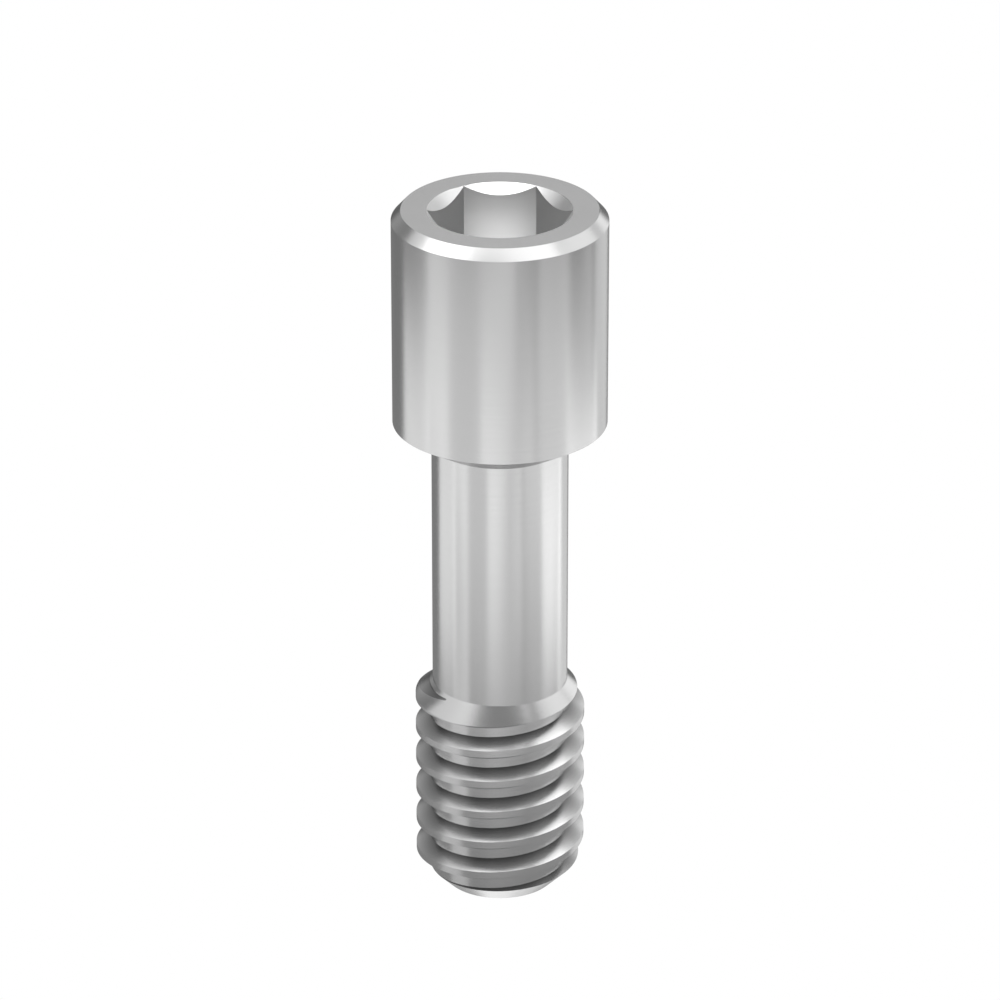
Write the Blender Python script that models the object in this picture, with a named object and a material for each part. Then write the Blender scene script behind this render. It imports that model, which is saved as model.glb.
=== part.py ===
"""Dental abutment screw: a cylindrical head with a hexagon socket, a plain shank and a right-hand thread.

The screw is turned in one piece from titanium alloy. It stands on the end face of its head, with its
axis on Z and its threaded tip up. The origin is the centre of that end face. All lengths are in metres.
"""
import math

import bmesh
import bpy
from mathutils import Matrix, Vector

# Head
HEAD_DIAMETER = 0.00216
HEAD_LENGTH = 0.00227
HEAD_CHAMFER_WIDTH = 0.000095
HEAD_CHAMFER_HEIGHT = 0.000105
SEAT_ANGLE = 30.5

# Hexagon socket
SOCKET_ACROSS_FLATS = 0.00125
SOCKET_FLOOR_THICKNESS = 0.00100
COUNTERSINK_LAP = 0.000004
COUNTERSINK_ANGLE = 45.0
PILOT_DIAMETER = 0.00112
PILOT_EXTRA_DEPTH = 0.00008
PILOT_POINT_ANGLE = 118.0

# Shank, turned a little thinner than the root of the thread
SHANK_LENGTH = 0.002652
SHANK_RELIEF = 0.00003

# Thread
THREAD_DIAMETER = 0.00173
THREAD_LENGTH = 0.002286
THREAD_PITCH = 0.00035
THREAD_DEPTH = 0.000145
CREST_WIDTH = 0.000073
ROOT_WIDTH = 0.000101
RUN_IN_ANGLE = 45.0
TIP_DIAMETER = 0.001153
TIP_CHAMFER_ANGLE = 45.0
THREAD_END_ANGLE = -8.6

# Flats in one turn of every round surface, and how far a cutter stands clear of the face it enters
SIDES = 72
CUTTER_OVERSHOOT = 0.0001

# Radii and heights that follow from the sizes above
head_radius = HEAD_DIAMETER / 2
thread_radius = THREAD_DIAMETER / 2
root_radius = thread_radius - THREAD_DEPTH
shank_radius = root_radius - SHANK_RELIEF
tip_radius = TIP_DIAMETER / 2
seat_height = (head_radius - shank_radius) * math.tan(math.radians(SEAT_ANGLE))
run_in_height = (thread_radius - shank_radius) / math.tan(math.radians(RUN_IN_ANGLE))
tip_chamfer_height = (thread_radius - tip_radius) / math.tan(math.radians(TIP_CHAMFER_ANGLE))

shank_start = HEAD_LENGTH + seat_height
shank_end = shank_start + SHANK_LENGTH
screw_length = shank_end + THREAD_LENGTH
socket_depth = HEAD_LENGTH - SOCKET_FLOOR_THICKNESS
socket_corner_radius = SOCKET_ACROSS_FLATS / 2 / math.cos(math.pi / 6)


def turned_solid(name, outline, sides=SIDES, turn=0.0):
    """A solid turned about Z. The outline is (radius, height) pairs that run up from its lower end."""
    mesh = bmesh.new()
    radius, height = outline[0]
    place = Matrix.Translation((0, 0, height)) @ Matrix.Rotation(turn, 4, "Z")
    bmesh.ops.create_circle(mesh, cap_ends=True, segments=sides, radius=radius, matrix=place)
    base = mesh.faces[:][0]
    end = base
    for next_radius, next_height in outline[1:]:
        grown = bmesh.ops.extrude_face_region(mesh, geom=[end])["geom"]
        if end is not base:
            bmesh.ops.delete(mesh, geom=[end], context="FACES_ONLY")
        end = next(part for part in grown if isinstance(part, bmesh.types.BMFace))
        widen = next_radius / radius
        bmesh.ops.scale(mesh, vec=(widen, widen, 1), verts=end.verts)
        bmesh.ops.translate(mesh, vec=(0, 0, next_height - height), verts=end.verts)
        radius, height = next_radius, next_height
    return finished_object(name, mesh)


def finished_object(name, mesh):
    """Puts a closed mesh into the scene with its faces pointing out."""
    bmesh.ops.recalc_face_normals(mesh, faces=mesh.faces)
    data = bpy.data.meshes.new(name)
    mesh.to_mesh(data)
    mesh.free()
    shape = bpy.data.objects.new(name, data)
    bpy.context.collection.objects.link(shape)
    return shape


def cut(body, cutter):
    """Takes the cutter's shape out of the body. The cutter itself is never shown."""
    cutter.hide_render = True
    cutter.display_type = "WIRE"
    step = body.modifiers.new(cutter.name, "BOOLEAN")
    step.operation = "DIFFERENCE"
    step.solver = "EXACT"
    step.object = cutter


def blank():
    """The turned blank: chamfered head, conical seat, shank, and the full body of the thread."""
    return turned_solid("abutment_screw", [
        (head_radius - HEAD_CHAMFER_WIDTH, 0),
        (head_radius, HEAD_CHAMFER_HEIGHT),
        (head_radius, HEAD_LENGTH),
        (shank_radius, shank_start),
        (shank_radius, shank_end),
        (thread_radius, shank_end + run_in_height),
        (thread_radius, screw_length - tip_chamfer_height),
        (tip_radius, screw_length),
    ])


def countersink():
    """A cone whose rim passes just outside the socket's six corners, which meet the middles of its flats."""
    rim_radius = socket_corner_radius + COUNTERSINK_LAP
    slope = math.tan(math.radians(COUNTERSINK_ANGLE))
    inner_radius = socket_corner_radius / 2
    return turned_solid("countersink_cutter", [
        (rim_radius + CUTTER_OVERSHOOT, -CUTTER_OVERSHOOT * slope),
        (inner_radius, (rim_radius - inner_radius) * slope),
    ], turn=math.pi / SIDES)


def hexagon():
    """The broached hexagon, with one pair of its flats facing along Y."""
    return turned_solid("hexagon_cutter", [
        (socket_corner_radius, -CUTTER_OVERSHOOT),
        (socket_corner_radius, socket_depth),
    ], sides=6, turn=math.pi / 6)


def pilot_hole():
    """The drilled hole that the hexagon was broached into, a little deeper, with the drill's point."""
    drill_radius = PILOT_DIAMETER / 2
    drill_end = socket_depth + PILOT_EXTRA_DEPTH
    point_radius = drill_radius / 20
    point_height = (drill_radius - point_radius) / math.tan(math.radians(PILOT_POINT_ANGLE / 2))
    return turned_solid("pilot_cutter", [
        (drill_radius, -CUTTER_OVERSHOOT),
        (drill_radius, drill_end),
        (point_radius, drill_end + point_height),
    ])


def thread_groove():
    """The single right-hand groove, cut at full depth from the clear shank to past the tip, so that it
    runs out through the cone at the thread's start and through the chamfer at its end."""
    flank_width = (THREAD_PITCH - CREST_WIDTH - ROOT_WIDTH) / 2
    reach = 1 + CREST_WIDTH / 4 / flank_width
    mouth_radius = root_radius + THREAD_DEPTH * reach
    half_root = ROOT_WIDTH / 2
    half_mouth = half_root + flank_width * reach

    # The ridge's middle meets the plane of the tip at THREAD_END_ANGLE, half a turn from the groove's
    step_turn = 2 * math.pi / SIDES
    step_height = THREAD_PITCH / SIDES
    steps_past_tip = math.ceil(half_mouth / step_height) + 1
    steps_before_tip = math.ceil((THREAD_LENGTH + half_mouth) / step_height) + 1
    steps = steps_before_tip + steps_past_tip
    start_turn = math.radians(THREAD_END_ANGLE) + math.pi - steps_before_tip * step_turn
    start_height = screw_length - steps_before_tip * step_height

    mesh = bmesh.new()
    section = [
        Vector((mouth_radius, 0, -half_mouth)),
        Vector((root_radius, 0, -half_root)),
        Vector((root_radius, 0, half_root)),
        Vector((mouth_radius, 0, half_mouth)),
    ]
    place = Matrix.Translation((0, 0, start_height)) @ Matrix.Rotation(start_turn, 4, "Z")
    profile = mesh.faces.new([mesh.verts.new(place @ corner) for corner in section])
    bmesh.ops.spin(mesh, geom=[profile], cent=(0, 0, 0), axis=(0, 0, 1), dvec=(0, 0, step_height),
                   angle=steps * step_turn, steps=steps)
    # A helical wall's four-sided faces are twisted, so they are split into flat ones
    bmesh.ops.triangulate(mesh, faces=mesh.faces)
    return finished_object("groove_cutter", mesh)


def titanium():
    """Bare machined titanium alloy, satin grey."""
    metal = bpy.data.materials.new("titanium")
    metal.use_nodes = True
    shader = metal.node_tree.nodes["Principled BSDF"]
    shader.inputs["Base Color"].default_value = (0.50, 0.50, 0.50, 1)
    shader.inputs["Metallic"].default_value = 1.0
    shader.inputs["Roughness"].default_value = 0.3
    return metal


for old in list(bpy.data.objects):
    bpy.data.objects.remove(old, do_unlink=True)

screw = blank()
cut(screw, countersink())
cut(screw, hexagon())
cut(screw, pilot_hole())
cut(screw, thread_groove())
screw.data.materials.append(titanium())
screw.data.shade_smooth()
screw.data.set_sharp_from_angle(angle=math.radians(20))
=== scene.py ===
import math

import bpy
from mathutils import Matrix, Vector


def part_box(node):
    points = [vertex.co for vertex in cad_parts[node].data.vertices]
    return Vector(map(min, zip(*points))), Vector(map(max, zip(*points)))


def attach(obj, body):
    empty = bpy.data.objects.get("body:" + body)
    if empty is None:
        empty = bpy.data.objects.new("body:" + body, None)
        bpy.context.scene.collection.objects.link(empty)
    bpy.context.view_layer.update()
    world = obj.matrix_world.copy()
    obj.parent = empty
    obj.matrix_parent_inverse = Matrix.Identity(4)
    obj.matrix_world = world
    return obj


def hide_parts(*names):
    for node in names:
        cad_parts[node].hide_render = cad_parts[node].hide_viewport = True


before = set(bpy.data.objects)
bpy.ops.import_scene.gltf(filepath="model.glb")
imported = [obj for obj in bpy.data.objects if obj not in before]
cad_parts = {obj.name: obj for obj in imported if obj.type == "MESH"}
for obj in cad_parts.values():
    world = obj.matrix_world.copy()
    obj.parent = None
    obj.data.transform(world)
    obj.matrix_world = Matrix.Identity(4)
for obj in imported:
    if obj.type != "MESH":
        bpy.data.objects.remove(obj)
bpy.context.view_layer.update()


# The blank: a bar of titanium alloy, turned in one setting to a cylindrical head with a chamfered edge,
# a conical seat, a plain shank that is a little thinner than the root of the thread, and the full body
# of the thread with a cone at its start and a chamfer at its tip. It stands on its head's end face.
SIDES = 240
MILLIMETRE = 0.001
HEAD_LENGTH = 2.27 * MILLIMETRE
HEAD_CHAMFER_WIDTH = 0.095 * MILLIMETRE
HEAD_CHAMFER_HEIGHT = 0.105 * MILLIMETRE
SEAT_ANGLE = math.radians(30.5)
SHANK_DIAMETER = 1.38 * MILLIMETRE
THREAD_DIAMETER = 1.73 * MILLIMETRE
THREAD_LENGTH = 2.286 * MILLIMETRE
TIP_DIAMETER = 1.153 * MILLIMETRE
TIP_CHAMFER_ANGLE = math.radians(45)

low_corner, high_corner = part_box("abutment_screw")
head_radius = (high_corner.x - low_corner.x) / 2
screw_length = high_corner.z
shank_radius = SHANK_DIAMETER / 2
thread_radius = THREAD_DIAMETER / 2
tip_radius = TIP_DIAMETER / 2
shank_start = HEAD_LENGTH + (head_radius - shank_radius) * math.tan(SEAT_ANGLE)
shank_end = screw_length - THREAD_LENGTH
# The cone at the thread's start widens at 45 degrees, so it is as long as it widens
run_in_end = shank_end + thread_radius - shank_radius
tip_chamfer_start = screw_length - (thread_radius - tip_radius) / math.tan(TIP_CHAMFER_ANGLE)


def turned(name, outline, sides=SIDES, turn=0.0):
    """A round solid, grown from a disc through (radius, height) steps from its lower end to its upper."""
    first_radius, first_height = outline[0]
    bpy.ops.object.select_all(action="DESELECT")
    bpy.ops.mesh.primitive_circle_add(vertices=sides, radius=first_radius, fill_type="NGON",
                                      location=(0, 0, first_height), rotation=(0, 0, turn))
    solid = bpy.context.object
    solid.name = name
    bpy.ops.object.transform_apply(location=True, rotation=True, scale=True)
    bpy.ops.object.mode_set(mode="EDIT")
    for (radius, height), (next_radius, next_height) in zip(outline, outline[1:]):
        widen = next_radius / radius
        bpy.ops.mesh.extrude_region_move(TRANSFORM_OT_translate={"value": (0, 0, next_height - height)})
        bpy.ops.transform.resize(value=(widen, widen, 1))
    bpy.ops.mesh.select_all(action="SELECT")
    bpy.ops.mesh.normals_make_consistent(inside=False)
    bpy.ops.object.mode_set(mode="OBJECT")
    return solid


screw = turned("titanium_screw", [
    (head_radius - HEAD_CHAMFER_WIDTH, 0),
    (head_radius, HEAD_CHAMFER_HEIGHT),
    (head_radius, HEAD_LENGTH),
    (shank_radius, shank_start),
    (shank_radius, shank_end),
    (thread_radius, run_in_end),
    (thread_radius, tip_chamfer_start),
    (tip_radius, screw_length),
])


# The hexagon socket: a hole is drilled into the head's end, its mouth is countersunk at 45 degrees, and
# the hexagon is broached into it. The drill's point shows below the hexagon's floor.
SOCKET_ACROSS_FLATS = 1.25 * MILLIMETRE
SOCKET_DEPTH = 1.27 * MILLIMETRE
COUNTERSINK_LAP = 0.004 * MILLIMETRE
PILOT_DIAMETER = 1.12 * MILLIMETRE
PILOT_EXTRA_DEPTH = 0.08 * MILLIMETRE
PILOT_POINT_ANGLE = math.radians(118)
PILOT_POINT_SHARE = 0.05
CUTTER_OVERSHOOT = 0.1 * MILLIMETRE

corner_radius = SOCKET_ACROSS_FLATS / 2 / math.cos(math.pi / 6)
countersink_mouth_radius = corner_radius + COUNTERSINK_LAP
countersink_end_radius = corner_radius / 2
pilot_radius = PILOT_DIAMETER / 2
pilot_end = SOCKET_DEPTH + PILOT_EXTRA_DEPTH
pilot_point = pilot_end + pilot_radius * (1 - PILOT_POINT_SHARE) / math.tan(PILOT_POINT_ANGLE / 2)


def cut(body, cutter):
    """Takes the cutter's shape out of the body, and the cutter away."""
    step = body.modifiers.new(cutter.name, "BOOLEAN")
    step.operation = "DIFFERENCE"
    step.solver = "EXACT"
    step.object = cutter
    bpy.context.view_layer.objects.active = body
    bpy.ops.object.modifier_apply(modifier=step.name)
    bpy.data.objects.remove(cutter)


# The countersink is turned by half a flat, so that its edges miss the hexagon's corners
cut(screw, turned("countersink_cutter", [
    (countersink_mouth_radius + CUTTER_OVERSHOOT, -CUTTER_OVERSHOOT),
    (countersink_end_radius, countersink_mouth_radius - countersink_end_radius),
], turn=math.pi / SIDES))
cut(screw, turned("hexagon_cutter", [
    (corner_radius, -CUTTER_OVERSHOOT),
    (corner_radius, SOCKET_DEPTH),
], sides=6, turn=math.pi / 6))
cut(screw, turned("pilot_cutter", [
    (pilot_radius, -CUTTER_OVERSHOOT),
    (pilot_radius, pilot_end),
    (pilot_radius * PILOT_POINT_SHARE, pilot_point),
]))


# The thread: one right-hand groove with a flat root, cut at full depth into the thread's body. It runs
# in through the cone beside the shank and out through the chamfer at the tip.
THREAD_PITCH = 0.35 * MILLIMETRE
THREAD_DEPTH = 0.145 * MILLIMETRE
CREST_WIDTH = 0.073 * MILLIMETRE
ROOT_WIDTH = 0.101 * MILLIMETRE
THREAD_END_ANGLE = math.radians(-8.6)
MOUTH_OVERLAP = 0.028 * MILLIMETRE
TURNS_PAST_EACH_END = 1
WELD_DISTANCE = 0.0001 * MILLIMETRE
SMOOTH_ANGLE = math.radians(30)

root_radius = thread_radius - THREAD_DEPTH
mouth_radius = thread_radius + MOUTH_OVERLAP
flank_slope = (THREAD_PITCH - CREST_WIDTH - ROOT_WIDTH) / 2 / THREAD_DEPTH
mouth_width = ROOT_WIDTH + 2 * flank_slope * (mouth_radius - root_radius)
groove_turns = math.ceil(THREAD_LENGTH / THREAD_PITCH) + 2 * TURNS_PAST_EACH_END
# The ridge ends at the thread's end angle, and the groove lies half a turn from it
turns_to_end = THREAD_END_ANGLE / (2 * math.pi)
groove_start = screw_length + THREAD_PITCH * (TURNS_PAST_EACH_END + 0.5 - turns_to_end - groove_turns)

# The groove's section is a plane stood on edge and widened at its mouth, and only its outline is kept
bpy.ops.object.select_all(action="DESELECT")
bpy.ops.mesh.primitive_plane_add(size=1, location=((root_radius + mouth_radius) / 2, 0, groove_start),
                                 rotation=(math.pi / 2, 0, 0))
groove = bpy.context.object
groove.name = "groove_cutter"
groove.scale = (mouth_radius - root_radius, ROOT_WIDTH, 1)
bpy.ops.object.transform_apply(location=True, rotation=True, scale=True)
for part in (*groove.data.polygons, *groove.data.edges):
    part.select = False
for corner in groove.data.vertices:
    corner.select = corner.co.x > thread_radius
bpy.ops.object.mode_set(mode="EDIT")
bpy.ops.mesh.select_mode(type="VERT")
bpy.ops.transform.resize(value=(1, 1, mouth_width / ROOT_WIDTH),
                         center_override=(mouth_radius, 0, groove_start))
bpy.ops.mesh.select_all(action="SELECT")
bpy.ops.mesh.delete(type="ONLY_FACE")
bpy.ops.object.mode_set(mode="OBJECT")

# The outline is swept along the thread, closed at its two four-sided ends and split into flat triangles
sweep = groove.modifiers.new("sweep", "SCREW")
sweep.axis = "Z"
sweep.angle = 2 * math.pi
sweep.screw_offset = THREAD_PITCH
sweep.iterations = groove_turns
sweep.steps = SIDES
sweep.render_steps = SIDES
sweep.use_merge_vertices = False
bpy.ops.object.modifier_apply(modifier=sweep.name)
bpy.ops.object.mode_set(mode="EDIT")
bpy.ops.mesh.select_all(action="SELECT")
bpy.ops.mesh.fill_holes(sides=4)
bpy.ops.mesh.select_all(action="SELECT")
bpy.ops.mesh.quads_convert_to_tris()
bpy.ops.mesh.normals_make_consistent(inside=False)
bpy.ops.object.mode_set(mode="OBJECT")
cut(screw, groove)

# Points that the cuts leave doubled are welded, and the round faces are shaded smooth
bpy.ops.object.select_all(action="DESELECT")
screw.select_set(True)
bpy.context.view_layer.objects.active = screw
weld = screw.modifiers.new("weld", "WELD")
weld.merge_threshold = WELD_DISTANCE
bpy.ops.object.modifier_apply(modifier=weld.name)
bpy.ops.object.shade_smooth_by_angle(angle=SMOOTH_ANGLE)
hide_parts("abutment_screw")
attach(screw, "root")


# The finish: bare titanium alloy with no plating. Its turned faces have a satin sheen with faint rings
# from the tool and a very slightly uneven grey. The socket's walls, which were broached, are rougher, and
# the flanks of the thread have painted shade, darker towards its root.
class Link:
    """One output of a node in a material or world, on which Python's arithmetic adds Math nodes."""

    def __init__(self, tree, socket=None):
        self.tree = tree
        self.socket = socket

    def node(self, kind, settings=None, inputs=None, output=0):
        """Adds a node with its settings and the values or links of its sockets, and gives one output."""
        added = self.tree.nodes.new(kind)
        for name, setting in (settings or {}).items():
            setattr(added, name, setting)
        for name, value in (inputs or {}).items():
            if isinstance(value, Link):
                value.feed(added.inputs[name])
            else:
                added.inputs[name].default_value = value
        return Link(self.tree, added.outputs[output])

    def feed(self, socket):
        """Links this output to a socket of another node."""
        self.tree.links.new(self.socket, socket)

    def along(self, axis):
        """One coordinate of a vector."""
        return self.node("ShaderNodeSeparateXYZ", inputs={0: self}, output=axis)

    def maths(self, operation, first, second=0.0):
        return self.node("ShaderNodeMath", {"operation": operation}, {0: first, 1: second})

    def __add__(self, other):
        return self.maths("ADD", self, other)

    def __radd__(self, other):
        return self.maths("ADD", other, self)

    def __sub__(self, other):
        return self.maths("SUBTRACT", self, other)

    def __rsub__(self, other):
        return self.maths("SUBTRACT", other, self)

    def __mul__(self, other):
        return self.maths("MULTIPLY", self, other)

    def __rmul__(self, other):
        return self.maths("MULTIPLY", other, self)

    def unsigned(self):
        return self.maths("ABSOLUTE", self)

    def at_least(self, limit):
        return self.maths("MAXIMUM", self, limit)

    def above(self, limit):
        return self.maths("GREATER_THAN", self, limit)

    def below(self, limit):
        return self.maths("LESS_THAN", self, limit)


LIGHT_GREY = (0.63, 0.63, 0.63, 1)
DARK_GREY = (0.6, 0.6, 0.6, 1)
# Painted shade: the grey that the thread's flanks take at their root
PAINTED_SHADE_GREY = (0.24, 0.24, 0.24, 1)
TURNED_ROUGHNESS = 0.24
RING_ROUGHNESS = 0.04
BROACHED_ROUGHNESS = 0.38
RING_SPACING = 0.03 * MILLIMETRE
RING_DEPTH = 0.00005 * MILLIMETRE
RING_DETAIL = 2.0
MOTTLE_SIZE = 0.5 * MILLIMETRE
MOTTLE_DETAIL = 3.0
SOCKET_REACH = 1.001
# How steeply the flanks face up or down: more than the thread's two cones, less than its flat tip
LEAST_FLANK_STEEPNESS = 0.78
MOST_FLANK_STEEPNESS = 0.93

titanium = bpy.data.materials.new("titanium")
titanium.use_nodes = True
shader = titanium.node_tree.nodes["Principled BSDF"]
metal = Link(titanium.node_tree)
place = metal.node("ShaderNodeTexCoord", output="Object")
height = place.along("Z")
level = metal.node("ShaderNodeVectorMath", {"operation": "MULTIPLY"}, {0: place, 1: (1, 1, 0)})
radius = metal.node("ShaderNodeVectorMath", {"operation": "LENGTH"}, {0: level}, output="Value")
steepness = metal.node("ShaderNodeTexCoord", output="Normal").along("Z").unsigned()

rings = metal.node("ShaderNodeTexNoise", {"noise_dimensions": "2D"}, {
    "Vector": metal.node("ShaderNodeCombineXYZ", inputs={0: radius, 1: height}),
    "Scale": 1 / RING_SPACING,
    "Detail": RING_DETAIL,
})
mottle = metal.node("ShaderNodeTexNoise", inputs={
    "Vector": place,
    "Scale": 1 / MOTTLE_SIZE,
    "Detail": MOTTLE_DETAIL,
})
bump = metal.node("ShaderNodeBump", inputs={"Height": rings, "Distance": RING_DEPTH})

in_socket = radius.below(corner_radius * SOCKET_REACH) * height.below(SOCKET_DEPTH * SOCKET_REACH)
turned_roughness = TURNED_ROUGHNESS + RING_ROUGHNESS * (rings + mottle - 1)
roughness = turned_roughness + in_socket * (BROACHED_ROUGHNESS - turned_roughness)

# Painted shade on the thread's flanks: their grey darkens evenly from the crest down to the root
on_flank = (steepness.above(LEAST_FLANK_STEEPNESS) * steepness.below(MOST_FLANK_STEEPNESS)
            * height.above(shank_end))
painted_root_shade = on_flank * ((thread_radius - radius) * (1 / THREAD_DEPTH)).at_least(0.0)
open_grey = metal.node("ShaderNodeMix", {"data_type": "RGBA"}, {
    "Factor": mottle,
    "A": DARK_GREY,
    "B": LIGHT_GREY,
}, output="Result")
grey = metal.node("ShaderNodeMix", {"data_type": "RGBA"}, {
    "Factor": painted_root_shade,
    "A": open_grey,
    "B": PAINTED_SHADE_GREY,
}, output="Result")

grey.feed(shader.inputs["Base Color"])
roughness.feed(shader.inputs["Roughness"])
bump.feed(shader.inputs["Normal"])
shader.inputs["Metallic"].default_value = 1.0
screw.data.materials.clear()
screw.data.materials.append(titanium)


# The stage: a pale floor at the head's end face, and soft light from a pale room and from panels around
# the screw. The floor is seen only from above and only by the camera, so the photograph's view from below
# the head passes through it and the screw's reflections are free of it.
FLOOR_SIZE = 400 * MILLIMETRE
FLOOR_GREY = (0.45, 0.45, 0.45, 1)
FLOOR_ROUGHNESS = 0.9
FLOOR_GLOW = 0.45
WHITE = (1, 1, 1, 1)
SKY_OVERHEAD = 0.56
SKY_LEVEL = 0.03
GROUND_BESIDE = 0.34
GROUND_SLOPE = 0.3
GROUND_ALONG = 0.69
GROUND_UNDER = 0.26
HORIZON_BLEND = 0.08
STEEP_FROM = -0.6
STEEP_TO = -0.85
LOOK_AT_HEIGHT = 3.1656 * MILLIMETRE
SOCKET_LAMP_HEIGHT = 1.02 * MILLIMETRE

bpy.ops.object.select_all(action="DESELECT")
bpy.ops.mesh.primitive_plane_add(size=FLOOR_SIZE)
floor = bpy.context.object
floor.name = "floor"
floor.visible_glossy = False
floor.visible_diffuse = False
floor.visible_transmission = False
floor.visible_shadow = False
card = bpy.data.materials.new("pale_card")
card.use_nodes = True
coating = card.node_tree.nodes["Principled BSDF"]
coating.inputs["Base Color"].default_value = FLOOR_GREY
coating.inputs["Roughness"].default_value = FLOOR_ROUGHNESS
coating.inputs["Emission Color"].default_value = WHITE
coating.inputs["Emission Strength"].default_value = FLOOR_GLOW
paper = Link(card.node_tree)
one_sided = paper.node("ShaderNodeMixShader", inputs={
    0: paper.node("ShaderNodeNewGeometry", output="Backfacing"),
    1: Link(card.node_tree, coating.outputs["BSDF"]),
    2: paper.node("ShaderNodeBsdfTransparent"),
})
one_sided.feed(card.node_tree.nodes["Material Output"].inputs["Surface"])
floor.data.materials.append(card)

# The room is white to the camera. The screw sees a dim sky, brighter overhead, and a paler ground
room = bpy.data.worlds.new("room")
bpy.context.scene.world = room
room.use_nodes = True
backdrop = room.node_tree.nodes["Background"]
air = Link(room.node_tree)
heading = air.node("ShaderNodeTexCoord", output="Generated")
sideways = heading.along("X")
forward = heading.along("Y")
upward = heading.along("Z")
seen = air.node("ShaderNodeLightPath", output="Is Camera Ray")
below_horizon = air.node("ShaderNodeMapRange", {"interpolation_type": "SMOOTHSTEP"}, {
    "Value": upward,
    "From Min": HORIZON_BLEND,
    "From Max": -HORIZON_BLEND,
})
far_below = air.node("ShaderNodeMapRange", {"interpolation_type": "SMOOTHSTEP"}, {
    "Value": upward,
    "From Min": STEEP_FROM,
    "From Max": STEEP_TO,
})
sky = SKY_LEVEL + (SKY_OVERHEAD - SKY_LEVEL) * upward.at_least(0.0)
ground = (GROUND_BESIDE + (GROUND_ALONG - GROUND_BESIDE) * forward * forward
          - GROUND_SLOPE * sideways)
around = sky + below_horizon * (ground - sky)
glow = around + far_below * (GROUND_UNDER - around)
strength = glow + seen * (1 - glow)
backdrop.inputs["Color"].default_value = WHITE
strength.feed(backdrop.inputs["Strength"])
bpy.context.scene.view_settings.view_transform = "Standard"


def set_up(thing, position, right, back):
    """Puts a light or the camera in the scene, with its right side and its back towards these."""
    bpy.context.scene.collection.objects.link(thing)
    turn = Matrix((right, back.cross(right), back)).transposed().to_4x4()
    thing.matrix_world = Matrix.Translation(position) @ turn


def softbox(name, azimuth, elevation, distance, width, height, brightness, aim=LOOK_AT_HEIGHT):
    """An even panel that faces the screw's axis, its distance and sides in millimetres. Azimuth turns from
    the camera's side to its right, and elevation rises towards the screw's tip."""
    azimuth = math.radians(azimuth)
    elevation = math.radians(elevation)
    away = Vector((-math.sin(azimuth) * math.cos(elevation), -math.cos(azimuth) * math.cos(elevation),
                   math.sin(elevation)))
    across = Vector((math.cos(azimuth), -math.sin(azimuth), 0))
    panel = bpy.data.lights.new(name, "AREA")
    panel.shape = "RECTANGLE"
    panel.size = width * MILLIMETRE
    panel.size_y = height * MILLIMETRE
    panel.energy = brightness * math.pi * panel.size * panel.size_y
    stand = bpy.data.objects.new(name, panel)
    stand.visible_camera = False
    set_up(stand, Vector((0, 0, aim)) + away * distance * MILLIMETRE, across, away)


softbox("front", azimuth=8, elevation=26, distance=20, width=19.5, height=4, brightness=0.61)
softbox("wide_left", azimuth=-32, elevation=21.5, distance=20, width=41, height=6.5, brightness=0.68)
softbox("left_strip", azimuth=-69, elevation=29, distance=20, width=9.5, height=8.3, brightness=0.47)
softbox("left_end", azimuth=-101, elevation=24, distance=20, width=14, height=5, brightness=0.93)
softbox("wide_right", azimuth=65, elevation=25, distance=20, width=40, height=5.3, brightness=0.43)
softbox("right_strip", azimuth=58, elevation=18.5, distance=20, width=12.5, height=5.8, brightness=0.44)
softbox("right_end", azimuth=99.5, elevation=26, distance=20, width=16.5, height=3.6, brightness=1)
softbox("right_back", azimuth=135.5, elevation=29, distance=20, width=13, height=44, brightness=0.57)
softbox("over_tip", azimuth=-45, elevation=88, distance=40, width=38, height=34, brightness=0.88)
softbox("under_chamfer", azimuth=-10, elevation=-74, distance=6.4, width=11, height=2, brightness=1.4)
softbox("under_socket", azimuth=0, elevation=-90, distance=6.2, width=2.7, height=2.4, brightness=4)
softbox("under_flanks", azimuth=118, elevation=-60, distance=40, width=16, height=20, brightness=1.8)
softbox("low_right", azimuth=94, elevation=-35, distance=40, width=40, height=20, brightness=0.6)
softbox("low_left", azimuth=-91, elevation=-43.5, distance=40, width=35, height=57, brightness=0.8)
softbox("in_socket", azimuth=0, elevation=0, distance=0.55, width=0.6, height=0.5, brightness=1.8,
        aim=SOCKET_LAMP_HEIGHT)


# The camera, at the photograph's angle: 25.3 degrees above the plane of the head's end, looking at it.
# The screw stands on its head, so this camera is below it and is turned over.
CAMERA_ELEVATION = math.radians(25.3)
CAMERA_DISTANCE = 58.2 * MILLIMETRE
CAMERA_LENS = 207.57
SENSOR_WIDTH = 36

camera_data = bpy.data.cameras.new("camera")
camera_data.lens = CAMERA_LENS
camera_data.sensor_width = SENSOR_WIDTH
camera_data.clip_start = MILLIMETRE
camera = bpy.data.objects.new("camera", camera_data)
camera_right = Vector((-1, 0, 0))
camera_back = Vector((0, -math.cos(CAMERA_ELEVATION), -math.sin(CAMERA_ELEVATION)))
set_up(camera, Vector((0, 0, LOOK_AT_HEIGHT)) + camera_back * CAMERA_DISTANCE, camera_right, camera_back)
bpy.context.scene.camera = camera
